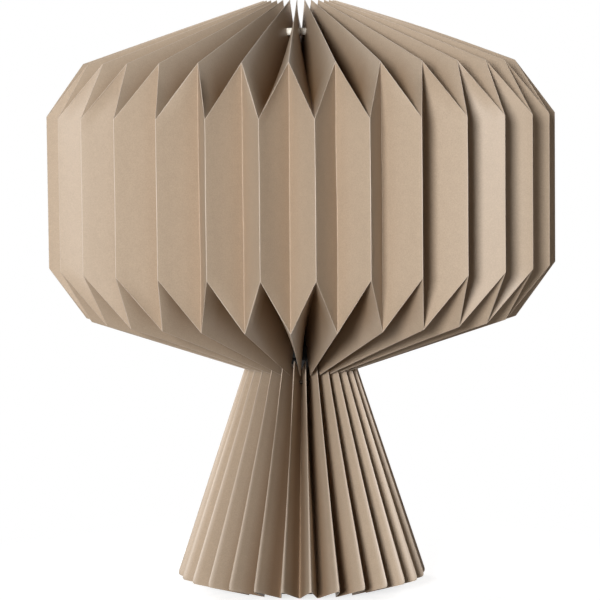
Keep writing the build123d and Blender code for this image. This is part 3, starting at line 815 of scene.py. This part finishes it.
class LAMP_OT_stage(bpy.types.Operator):
    """Set the floor, the lights and the camera"""

    bl_idname = "lamp.stage"
    bl_label = "Stage"

    def execute(self, context):
        scene, s = context.scene, context.scene.lamp_stage
        scene.view_settings.view_transform = "Standard"
        self.floor(scene, s)
        self.surroundings(scene, s)
        self.lamp(scene, "key_light", s.key_place, s.key_size, s.key_power)
        x, y, z = s.back_place
        for side, name in ((-1, "back_light_left"), (1, "back_light_right")):
            light = self.lamp(scene, name, (side * x, y, z), s.back_size, s.back_power)
            light.visible_glossy = False
        data = bpy.data.cameras.new("camera")
        data.lens, data.sensor_width = s.lens, SENSOR
        camera = bpy.data.objects.new("camera", data)
        tilt = Euler((math.pi / 2 - s.pitch, 0, 0)).to_matrix() @ Matrix.Rotation(s.roll, 3, "Z")
        camera.matrix_world = Matrix.Translation((s.aside, -s.distance, s.height)) @ tilt.to_4x4()
        scene.collection.objects.link(camera)
        scene.camera = camera
        return {"FINISHED"}

    def lamp(self, scene, name, place, size, energy):
        data = bpy.data.lights.new(name, "AREA")
        data.shape, data.size, data.energy = "DISK", size, energy
        light = bpy.data.objects.new(name, data)
        aim = Vector((0, 0, scene.lamp_stage.aim)) - Vector(place)
        light.matrix_world = Matrix.Translation(place) @ aim.to_track_quat("-Z", "Y").to_matrix().to_4x4()
        scene.collection.objects.link(light)
        return light

    def seen_directly(self, tree):
        """1 on rays that show the background itself: camera, glossy and transmitted."""
        path = add_node(tree, "ShaderNodeLightPath")
        total = path.outputs["Is Camera Ray"]
        for name in ("Is Glossy Ray", "Is Transmission Ray"):
            either = add_node(tree, "ShaderNodeMath", operation="MAXIMUM")
            tree.links.new(total, either.inputs[0])
            tree.links.new(path.outputs[name], either.inputs[1])
            total = either.outputs[0]
        return total

    def glow(self, tree, strength):
        return add_node(tree, "ShaderNodeEmission", Strength=strength, Color=WHITE).outputs[0]

    def either(self, tree, factor, first, second):
        node = add_node(tree, "ShaderNodeMixShader")
        for socket, source in zip(node.inputs, (factor, first, second)):
            tree.links.new(source, socket)
        return node.outputs[0]

    def floor(self, scene, s):
        half = s.floor_half
        corners = [(-half, -half, 0), (half, -half, 0), (half, half, 0), (-half, half, 0)]
        mesh = bpy.data.meshes.new("floor")
        mesh.from_pydata(corners, [], [(0, 1, 2, 3)])
        mesh.materials.append(self.floor_finish(scene.lamp_colours, s))
        floor = bpy.data.objects.new("floor", mesh)
        scene.collection.objects.link(floor)

    def floor_finish(self, tint, s):
        """Pale and matt, and white where it is seen directly, apart from the shadow around the foot."""
        material = bpy.data.materials.new("pale_floor")
        material.use_nodes = True
        tree = material.node_tree
        tree.nodes.clear()
        matt = add_node(tree, "ShaderNodeBsdfDiffuse")
        cloud = mottled(tree, grain(tree, scale=20), tint.floor, contrast=0.02)
        tree.links.new(cloud, matt.inputs["Color"])
        pale = add_node(tree, "ShaderNodeBsdfDiffuse", Color=(*tint.floor_shadow, 1))
        shadowed = add_node(tree, "ShaderNodeAddShader")
        tree.links.new(self.glow(tree, s.floor_glow), shadowed.inputs[0])
        tree.links.new(pale.outputs[0], shadowed.inputs[1])
        place = add_node(tree, "ShaderNodeTexCoord")
        away = add_node(tree, "ShaderNodeVectorMath", operation="LENGTH")
        tree.links.new(place.outputs["Object"], away.inputs[0])
        fade = add_node(tree, "ShaderNodeMapRange", interpolation_type="SMOOTHSTEP")
        fade.inputs["From Min"].default_value = s.shadow_near
        fade.inputs["From Max"].default_value = s.shadow_far
        tree.links.new(away.outputs["Value"], fade.inputs["Value"])
        backdrop = self.either(tree, fade.outputs["Result"], shadowed.outputs[0], self.glow(tree, 1.0))
        mixed = self.either(tree, self.seen_directly(tree), matt.outputs[0], backdrop)
        out = add_node(tree, "ShaderNodeOutputMaterial")
        tree.links.new(mixed, out.inputs["Surface"])
        return material

    def surroundings(self, scene, s):
        world = bpy.data.worlds.new("surroundings")
        scene.world = world
        world.use_nodes = True
        tree = world.node_tree
        tree.nodes.clear()
        tint = (*scene.lamp_colours.fill, 1)
        soft = add_node(tree, "ShaderNodeBackground", Strength=s.fill, Color=tint)
        white = add_node(tree, "ShaderNodeBackground", Strength=1.0, Color=WHITE)
        mixed = self.either(tree, self.seen_directly(tree), soft.outputs[0], white.outputs[0])
        out = add_node(tree, "ShaderNodeOutputWorld")
        tree.links.new(mixed, out.inputs["Surface"])


# Add-on


OPERATORS = (
    LAMP_OT_stage,
    LAMP_OT_shade,
    LAMP_OT_skirt,
    LAMP_OT_drawcords,
    LAMP_OT_base,
    LAMP_OT_lampholder,
    LAMP_OT_bulb,
)
GROUPS = {
    "lamp_folds": PaperFolds,
    "lamp_shade": ShadeSizes,
    "lamp_skirt": SkirtSizes,
    "lamp_cords": CordSizes,
    "lamp_threads": ThreadSizes,
    "lamp_colours": Colours,
    "lamp_stage": StageSizes,
}


class LAMP_PT_panel(bpy.types.Panel):
    """Pieces and sizes of the lamp"""

    bl_label = "Pleated Paper Lamp"
    bl_idname = "LAMP_PT_panel"
    bl_space_type = "VIEW_3D"
    bl_region_type = "UI"
    bl_category = "Paper Lamp"

    def draw(self, context):
        for operator in OPERATORS:
            self.layout.operator(operator.bl_idname)
        for key, group in GROUPS.items():
            box = self.layout.box()
            box.label(text=group.__doc__)
            for name in group.__annotations__:
                box.prop(getattr(context.scene, key), name)


def register():
    for kind in (*GROUPS.values(), *OPERATORS, LAMP_PT_panel):
        bpy.utils.register_class(kind)
    for key, group in GROUPS.items():
        setattr(bpy.types.Scene, key, PointerProperty(type=group))


def unregister():
    for key in GROUPS:
        delattr(bpy.types.Scene, key)
    for kind in (LAMP_PT_panel, *reversed(OPERATORS), *GROUPS.values()):
        bpy.utils.unregister_class(kind)


def main():
    register()
    bpy.ops.lamp.stage()
    bpy.ops.lamp.shade()
    bpy.ops.lamp.skirt()
    bpy.ops.lamp.drawcords()
    bpy.ops.lamp.base()
    bpy.ops.lamp.lampholder()
    bpy.ops.lamp.bulb()


if __name__ == "__main__":
    main()
